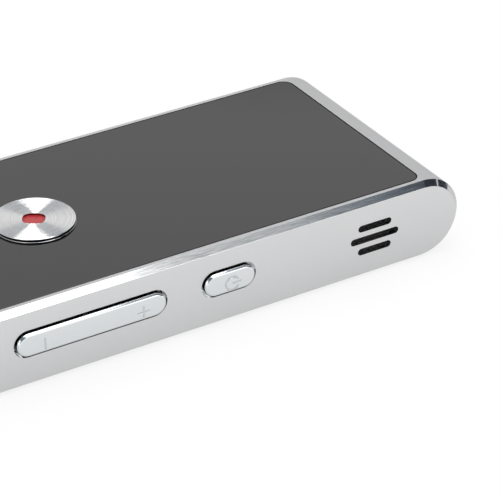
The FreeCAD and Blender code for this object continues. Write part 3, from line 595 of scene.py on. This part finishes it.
def bridge(shell, lower, upper):
    """Faces between two rings of as many vertices."""
    count = len(lower)
    for i in range(count):
        shell.faces.new((lower[i], lower[(i + 1) % count], upper[(i + 1) % count], upper[i]))


def quarter_turn(steps):
    """Angles from 0 to a quarter turn, both included."""
    return [math.pi / 2 * i / steps for i in range(steps + 1)]


def talk_key(colour, tree, finish):
    """A talk key: turned face, rounded rim, lip at the glass, flange under it and nub on the dome."""
    x = TALK_KEY_X[colour]
    shell = bmesh.new()
    shell.from_mesh(grown("turned_face_" + colour, tree, Centre_X=x, Finish=finish))
    cap, lip_bottom = TALK_KEY_RADIUS, LIP_LEVEL - LIP_HEIGHT
    profile = [(cap - RIM_ROUNDING * (1.0 - math.sin(a)), TALK_KEY_TOP - RIM_ROUNDING * (1.0 - math.cos(a)))
               for a in quarter_turn(ROUNDING_STEPS)]
    profile += [(cap, LIP_LEVEL + LIP_HOLD), (cap, LIP_LEVEL)]
    profile += [(cap + LIP_WIDTH * math.sin(a), LIP_LEVEL - LIP_WIDTH * (1.0 - math.cos(a)))
                for a in quarter_turn(LIP_STEPS)[1:]]
    profile += [(cap + LIP_WIDTH, lip_bottom), (cap, lip_bottom - LIP_SLOPE),
                (cap, TALK_FLANGE_TOP + FLANGE_HOLD), (cap, TALK_FLANGE_TOP),
                (cap + FLANGE_HOLD, TALK_FLANGE_TOP), (TALK_FLANGE_RADIUS, TALK_FLANGE_TOP),
                (TALK_FLANGE_RADIUS, TALK_FLANGE_BOTTOM), (TALK_NUB_RADIUS, TALK_FLANGE_BOTTOM),
                (TALK_NUB_RADIUS, TALK_NUB_BOTTOM)]

    def beside(u, v, z):
        return (x + u, v, z)

    rows = [ring_of(shell, FACE_SPOKES, turned(beside, r, z)) for r, z in profile]
    for upper, lower in zip(rows, rows[1:]):
        bridge(shell, lower, upper)
    shell.faces.new(list(reversed(rows[-1])))
    bmesh.ops.remove_doubles(shell, verts=shell.verts, dist=RIM_WELD)
    bmesh.ops.recalc_face_normals(shell, faces=shell.faces)
    shade_smooth(shell, 35.0)
    shown("turned_key_" + colour, shell, finish,
          "talk_button_" + colour, "talk_key_" + colour)


def shade_smooth(shell, limit):
    """Shades a shell smooth, with its edges over the limit, in degrees, kept sharp."""
    for face in shell.faces:
        face.smooth = True
    for edge in shell.edges:
        if len(edge.link_faces) == 2 and edge.calc_face_angle(0.0) > math.radians(limit):
            edge.smooth = False


def mark_insert(colour, finish):
    """The coloured insert in a talk key, dished a little towards its middle."""
    x = TALK_KEY_X[colour]
    top, floor = TALK_KEY_TOP - MARK_SINK, TALK_KEY_TOP - MARK_DEPTH
    shell = bmesh.new()

    def spot(share, level, turn):
        reach = share * mark_reach(turn)
        return (x + reach * math.cos(turn), reach * math.sin(turn), level)

    def row(share, level):
        return ring_of(shell, FACE_SPOKES, lambda turn: spot(share, level, turn))

    rows = [row(MARK_FIT, floor), row(MARK_FIT, top)]
    rows += [row(share, top - dish) for share, dish in MARK_DISH]
    for lower, upper in zip(rows, rows[1:]):
        bridge(shell, lower, upper)
    shell.faces.new(rows[-1])
    shell.faces.new(list(reversed(rows[0])))
    bmesh.ops.recalc_face_normals(shell, faces=shell.faces)
    shade_smooth(shell, 50.0)
    shown("enamel_mark_" + colour, shell, finish,
          "talk_button_" + colour, "talk_mark_" + colour)


def stadium_loop(shell, cx, length, height, inset, y):
    """A closed loop of a bar with half-round ends on the side face, drawn in by inset."""
    r = height / 2 - inset
    half = length / 2 - height / 2
    turns = [math.pi * (i / KEY_END_STEPS - 0.5) for i in range(KEY_END_STEPS + 1)]
    spots = [(half + r * math.cos(a), r * math.sin(a)) for a in turns]
    spots += [(-px, -pz) for px, pz in spots]
    return [shell.verts.new(Vector((cx + px, y, SIDE_KEY_LEVEL + pz)) * MM) for px, pz in spots]


def stadium_block(shell, cx, length, height, front, back, rounding):
    """A closed bar from front to back, with its front edge rounded."""
    profile = [(0.0, back), (0.0, front + rounding)]
    if rounding:
        profile += [(rounding * (1 - math.cos(a)), front + rounding * (1 - math.sin(a)))
                    for a in quarter_turn(ROUNDING_STEPS)[1:]]
        profile.append((rounding + SIDE_KEY_HOLD, front))
    rows = [stadium_loop(shell, cx, length, height, inset, y) for inset, y in profile]
    for lower, upper in zip(rows, rows[1:]):
        bridge(shell, lower, upper)
    shell.faces.new(rows[-1])
    shell.faces.new(list(reversed(rows[0])))


def side_key(name, node, body, cx, length, flange_face, nubs, finish):
    """A side key: rounded cap, flange behind the wall and its nubs."""
    shell = bmesh.new()
    back = flange_face + SIDE_FLANGE_THICKNESS
    stadium_block(shell, cx, length, SIDE_KEY_HEIGHT, SIDE_KEY_FACE, back, KEY_ROUNDING)
    rim = 2 * SIDE_FLANGE_WIDTH
    stadium_block(shell, cx, length + rim, SIDE_KEY_HEIGHT + rim, flange_face, back, 0.0)
    for offset, wide, reach in nubs:
        stadium_block(shell, cx + offset, wide, wide, flange_face, reach, 0.0)
    bmesh.ops.recalc_face_normals(shell, faces=shell.faces)
    shade_smooth(shell, 30.0)
    shown(name, shell, finish, body, node)


def turned(spot, r, z):
    """The place that spot gives to a point at radius r and height z, as it turns about the axis."""
    return lambda turn: spot(r * math.cos(turn), r * math.sin(turn), z)


def snap_domes(name, node, anchor, radius, height, spots, finish):
    """Thin pressed domes, each on its rim."""
    shell = bmesh.new()
    height -= DOME_SLACK
    for spot in spots:
        skin = [(radius * (1 - (1 - DOME_CROWN) * a / (math.pi / 2)), height * math.sin(a))
                for a in quarter_turn(ROUNDING_STEPS)]
        lining = [(r - 2 * DOME_SHEET, z * (1 - DOME_SHEET / height)) for r, z in skin]
        rows = [ring_of(shell, DOME_SPOKES, turned(spot, r, z)) for r, z in list(reversed(skin)) + lining]
        for upper, lower in zip(rows, rows[1:]):
            bridge(shell, upper, lower)
        shell.faces.new(rows[0])
        shell.faces.new(list(reversed(rows[-1])))
    bmesh.ops.recalc_face_normals(shell, faces=shell.faces)
    shade_smooth(shell, 35.0)
    piece = shown(name, shell, finish, "casing", node)
    [c * MM for c in anchor]
    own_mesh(piece)


def weave_tree():
    """Geometry nodes for the woven sound mesh: wires along and across, trimmed to the outlet."""
    group = bpy.data.node_groups.new("sound_weave", "GeometryNodeTree")
    inputs = (("Length", MESH_LENGTH), ("Height", MESH_HEIGHT), ("Pitch", WEAVE_PITCH), ("Wire", WEAVE_WIRE),
              ("Wave", WEAVE_WAVE), ("Centre X", SOUND_X), ("Centre Z", THICKNESS / 2), ("Face Y", MESH_Y))
    for name, value in inputs:
        size = group.interface.new_socket(name, in_out="INPUT", socket_type="NodeSocketFloat")
        size.default_value = value
    group.interface.new_socket("Finish", in_out="INPUT", socket_type="NodeSocketMaterial")
    group.interface.new_socket("Geometry", in_out="OUTPUT", socket_type="NodeSocketGeometry")
    t = Tree(group)
    source = group.nodes.new("NodeGroupInput")
    given = {s.name: Field(group, s) for s in source.outputs if s.name}
    pitch = given["Pitch"]

    def wires(run, span, phase):
        """Parallel wires of a length run, spread over a span, each waved over and under the others."""
        count = (span / pitch).math("FLOOR")
        steps = (run / pitch * POINTS_PER_PITCH).math("FLOOR")
        line = t.node("GeometryNodeMeshLine", {"mode": "OFFSET"}, Count=steps,
                      Start_Location=t.node("ShaderNodeCombineXYZ", X=run * -0.5),
                      Offset=t.node("ShaderNodeCombineXYZ", X=pitch * (1.0 / POINTS_PER_PITCH)))
        points = t.node("GeometryNodeMeshLine", {"mode": "OFFSET"}, Count=count,
                        Start_Location=t.node("ShaderNodeCombineXYZ", Z=span * -0.5 + pitch * 0.5),
                        Offset=t.node("ShaderNodeCombineXYZ", Z=pitch))
        copies = t.node("GeometryNodeInstanceOnPoints", Points=points, Instance=line)
        strands = t.node("GeometryNodeRealizeInstances", Geometry=copies)
        at = t.node("ShaderNodeSeparateXYZ", i0=t.node("GeometryNodeInputPosition"))
        row = (Field(group, at.socket.node.outputs[2]) / pitch).math("ROUND") * math.pi
        sway = (at * math.pi / pitch + row + phase).math("SINE") * given["Wave"] * 0.5
        shift = t.node("ShaderNodeCombineXYZ", Y=sway)
        swayed = t.node("GeometryNodeSetPosition", Geometry=strands, Offset=shift)
        path = t.node("GeometryNodeMeshToCurve", Mesh=swayed)
        ring = t.node("GeometryNodeCurvePrimitiveCircle", Resolution=WIRE_SIDES, Radius=given["Wire"] * 0.5)
        return t.node("GeometryNodeCurveToMesh", Curve=path, Profile_Curve=ring, Fill_Caps=True)

    along = wires(given["Length"] - LONG_WIRE_TRIM, given["Height"] - LONG_WIRE_MARGIN, 0.0)
    across = wires(given["Height"] - SHORT_WIRE_TRIM, given["Length"] - SHORT_WIRE_MARGIN, math.pi)
    stood = t.node("GeometryNodeTransform", Geometry=across, Rotation=(0.0, math.pi / 2, 0.0))
    both = group.nodes.new("GeometryNodeJoinGeometry")
    group.links.new(along.socket, both.inputs[0])
    group.links.new(stood.socket, both.inputs[0])
    place = t.node("ShaderNodeCombineXYZ", X=given["Centre X"], Y=given["Face Y"], Z=given["Centre Z"])
    moved = t.node("GeometryNodeTransform", Geometry=Field(group, both.outputs[0]), Translation=place)
    small = t.node("GeometryNodeTransform", Geometry=moved, Scale=(MM, MM, MM))
    real = t.node("GeometryNodeRealizeInstances", Geometry=small)
    painted = t.node("GeometryNodeSetMaterial", Geometry=real, Material=given["Finish"])
    target = group.nodes.new("NodeGroupOutput")
    group.links.new(painted.socket, target.inputs["Geometry"])
    return group


def sound_weave(finish):
    """The woven mesh behind the sound slots."""
    shell = bmesh.new()
    shell.from_mesh(grown("weave", weave_tree(), Finish=finish))
    bmesh.ops.recalc_face_normals(shell, faces=shell.faces)
    shown("sound_weave", shell, finish, "casing", "sound_mesh")


def mirrored_room(w):
    """What metal and glass mirror: a soft box overhead, lights at the side and in front, a dim room.

    The directions were set by measure against the highlights in the photograph.
    """
    way = w.node("ShaderNodeTexCoord", out="Generated")
    apart = w.node("ShaderNodeSeparateXYZ", i0=way)
    x, y, z = (Field(w.tree, apart.socket.node.outputs[i]) for i in range(3))
    # Where a ray meets a ceiling one unit up: a along X, b along Y
    up = z.math("MAXIMUM", 0.03)
    a, b = x / up, y / up
    overhead = z.smooth(0.03, 0.06)
    right_edge = (a + b * 0.112).drop(0.445, 0.459)
    back_edge = (b - a * 0.69).drop(0.60, 0.64)
    soft_box = right_edge * back_edge * b.smooth(-1.15, -1.10) * a.smooth(-0.40, -0.35)
    # The camera and whoever holds it block the light low down on their side
    watcher = (a * -0.52 + b * -0.854).smooth(0.30, 0.40) * abs(a * 0.854 - b * 0.52).drop(0.25, 0.35)
    front_dark = a.smooth(0.700, 0.725) * b.drop(-0.50, -0.30)
    room = w.blend(ROOM_DIM, ROOM_DARK, front_dark)
    beside = a.drop(0.640, 0.668) * b.drop(-0.50, -0.40) * a.smooth(0.3, 0.4)
    room = w.blend(room, ROOM_BESIDE, beside * overhead)
    right = a.smooth(0.62, 0.85) * b.smooth(-0.35, -0.10)
    room = w.blend(room, ROOM_RIGHT, right * overhead)
    backdrop = y.smooth(0.60, 0.70) * z.drop(0.60, 0.68)
    room = w.blend(room, w.blend(grey(BACKDROP_LOW), grey(BACKDROP_HIGH), z.smooth(0.42, 0.50)), backdrop)
    # The lit panel of the backdrop that the flat glass mirrors into the camera
    behind = y.smooth(0.68, 0.71) * z.smooth(0.44, 0.47) * z.drop(0.57, 0.60)
    panel = behind * x.smooth(0.28, 0.33) * x.drop(0.55, 0.60)
    room = w.blend(room, PANEL_LIGHT, panel)
    strip = abs(x - 0.885).drop(0.008, 0.014) * y.drop(-0.1, 0.0)
    room = w.blend(room, grey(STRIP_LIGHT), strip * overhead)
    left = x.drop(-0.72, -0.62) * z.drop(0.50, 0.60)
    room = w.blend(room, grey(LEFT_LIGHT), left)
    in_front = y.drop(-0.74, -0.66) * z.drop(0.44, 0.52) * x.smooth(0.05, 0.20)
    room = w.blend(room, grey(FRONT_LIGHT), in_front)
    return w.blend(room, grey(SOFT_BOX_GLARE), soft_box * overhead * (1.0 - watcher))


def surround():
    """The world: white to the camera, the mirrored room to mirror rays and an even light to the rest."""
    world = bpy.data.worlds.new("studio")
    world.use_nodes = True
    bpy.context.scene.world = world
    world.node_tree.nodes.clear()
    w = Tree(world.node_tree)
    seen = w.node("ShaderNodeLightPath", out="Is Camera Ray")
    glossy = w.node("ShaderNodeLightPath", out="Is Glossy Ray")
    lit = w.blend(EVEN_LIGHT, mirrored_room(w), glossy)
    sky = w.node("ShaderNodeBackground", Color=w.blend(lit, grey(1.0), seen), Strength=1.0)
    out = world.node_tree.nodes.new("ShaderNodeOutputWorld")
    world.node_tree.links.new(sky.socket, out.inputs["Surface"])


def soft_lamp():
    """The soft box that lights the object and casts its shadow. Mirror rays meet the painted one instead."""
    lamp = bpy.data.lights.new("soft_box", "AREA")
    lamp.shape = "RECTANGLE"
    lamp.size, lamp.size_y = LAMP_SIZE
    lamp.energy = LAMP_LEVEL * math.pi * lamp.size * lamp.size_y
    holder = bpy.data.objects.new("soft_box", lamp)
    holder.location = LAMP_PLACE
    holder.visible_glossy = False
    bpy.context.scene.collection.objects.link(holder)


def floor_paper():
    """White paper: a plain sheet mixed with a glow for the camera and for mirror rays. The glow that mirror
    rays see holds a painted shadow close in front of the bar.
    """
    paper = bpy.data.materials.new("floor_paper")
    paper.use_nodes = True
    paper.node_tree.nodes.clear()
    p = Tree(paper.node_tree)
    sheet = p.node("ShaderNodeBsdfDiffuse", Color=grey(FLOOR_COLOUR))
    seen = p.node("ShaderNodeLightPath", out="Is Camera Ray")
    glossy = p.node("ShaderNodeLightPath", out="Is Glossy Ray")
    apart = p.node("ShaderNodeSeparateXYZ", i0=p.node("ShaderNodeTexCoord", out="Object"))
    # Metres from the bar's middle line towards the side keys
    forward = Field(paper.node_tree, apart.socket.node.outputs[1]) * -1.0
    front = forward.smooth(*FLOOR_FRONT_EDGE)
    # Painted shadow: the glow that mirror rays see falls to FLOOR_MIRRORED_NEAR close in front of the bar
    painted_shadow_factor = forward.smooth(*FLOOR_NEAR_EDGE) * (1.0 - FLOOR_MIRRORED_NEAR) + FLOOR_MIRRORED_NEAR
    mirrored = painted_shadow_factor * FLOOR_MIRRORED_FRONT * front + (1.0 - front) * FLOOR_MIRRORED_BACK
    level = seen * FLOOR_SEEN + (1.0 - seen) * mirrored
    shade = p.node("ShaderNodeCombineXYZ", X=level, Y=level, Z=level)
    glow = p.node("ShaderNodeEmission", Color=shade, Strength=1.0)
    faced = p.node("ShaderNodeMixShader", i0=seen.math("MAXIMUM", glossy) * FLOOR_GLOW, i1=sheet, i2=glow)
    out = paper.node_tree.nodes.new("ShaderNodeOutputMaterial")
    paper.node_tree.links.new(faced.socket, out.inputs["Surface"])
    return paper


def ground():
    """The round floor that the object lies on."""
    shell = bmesh.new()
    bmesh.ops.create_circle(shell, cap_ends=True, segments=96, radius=FLOOR_RADIUS)
    bmesh.ops.translate(shell, verts=shell.verts, vec=(0, 0, -FLOOR_DROP))
    mesh = bpy.data.meshes.new("floor")
    shell.to_mesh(mesh)
    shell.free()
    mesh.materials.append(floor_paper())
    floor = bpy.data.objects.new("floor", mesh)
    bpy.context.scene.collection.objects.link(floor)


def camera():
    """The photograph's view, found by fitting the edges of the casing and its keys."""
    level = math.cos(CAMERA_ELEVATION)
    east, north = math.sin(CAMERA_AZIMUTH), math.cos(CAMERA_AZIMUTH)
    ahead = Vector((east * level, north * level, -math.sin(CAMERA_ELEVATION)))
    flat_right = Vector((north, -east, 0.0))
    flat_up = flat_right.cross(ahead)
    right = flat_right * math.cos(CAMERA_ROLL) + flat_up * math.sin(CAMERA_ROLL)
    up = flat_up * math.cos(CAMERA_ROLL) - flat_right * math.sin(CAMERA_ROLL)
    lens = bpy.data.cameras.new("camera")
    lens.sensor_width = 36.0
    lens.lens = CAMERA_LENS
    lens.clip_start = 0.005
    holder = bpy.data.objects.new("camera", lens)
    aimed = Matrix((right, up, -ahead)).transposed().to_4x4()
    holder.matrix_world = Matrix.Translation(Vector(CAMERA_PLACE) * MM) @ aimed
    bpy.context.scene.collection.objects.link(holder)
    bpy.context.scene.camera = holder


def talk_keys():
    """Both talk keys, then their marks."""
    metal = turned_metal()
    tree = turned_face_tree()
    for colour in TALK_KEY_X:
        talk_key(colour, tree, metal)
    mark_insert("red", enamel("red_enamel", (0.40, 0.022, 0.024), (0.56, 0.040, 0.042)))
    mark_insert("blue", enamel("blue_enamel", (0.03, 0.09, 0.34), (0.05, 0.14, 0.48)))


def side_keys():
    """The volume rocker and the power key."""
    chrome = polished_key()
    nub = 2 * SIDE_NUB_RADIUS
    rocker_nubs = [(-VOLUME_NUB_OFFSET, nub, DOME_FRONT), (VOLUME_NUB_OFFSET, nub, DOME_FRONT),
                   (0.0, 2 * PIVOT_RADIUS, PIVOT_NOSE)]
    side_key("volume_rocker_key", "volume_key", "volume_rocker",
             VOLUME_X, VOLUME_LENGTH, VOLUME_FLANGE_FACE, rocker_nubs, chrome)
    side_key("power_push_key", "power_key", "power_button",
             POWER_X, POWER_LENGTH, POWER_FLANGE_FACE, [(0.0, nub, DOME_FRONT)], chrome)


def all_snap_domes():
    """The domes under the four keys: those of the talk keys on the board, the others on the side flex."""
    spring = sheet_metal("spring_sheet", (0.62, 0.62, 0.63))

    def on_board(x):
        return lambda u, v, h: (x + u, v, BOARD_TOP + h)

    def on_flex(x):
        return lambda u, v, h: (x + u, FLEX_FACE - h, SIDE_KEY_LEVEL + v)

    for colour, x in TALK_KEY_X.items():
        snap_domes("snap_dome_" + colour, "talk_dome_" + colour,
                   (x, 0, BOARD_TOP),
                   TALK_DOME_RADIUS, TALK_DOME_HEIGHT, [on_board(x)], spring)
    snap_domes("snap_dome_power", "power_dome",
               (POWER_X, FLEX_FACE, SIDE_KEY_LEVEL),
               SIDE_DOME_RADIUS, SIDE_DOME_HEIGHT, [on_flex(POWER_X)], spring)
    rocker_spots = [on_flex(VOLUME_X - VOLUME_NUB_OFFSET), on_flex(VOLUME_X + VOLUME_NUB_OFFSET)]
    snap_domes("snap_domes_volume", "volume_domes",
               (VOLUME_X, FLEX_FACE, SIDE_KEY_LEVEL),
               SIDE_DOME_RADIUS, SIDE_DOME_HEIGHT, rocker_spots, spring)


dress_nodes()
talk_keys()
side_keys()
all_snap_domes()
sound_weave(moulded("woven_black", (0.055, 0.055, 0.055), 0.5))
surround()
soft_lamp()
ground()
camera()
bpy.context.scene.view_settings.view_transform = "Standard"
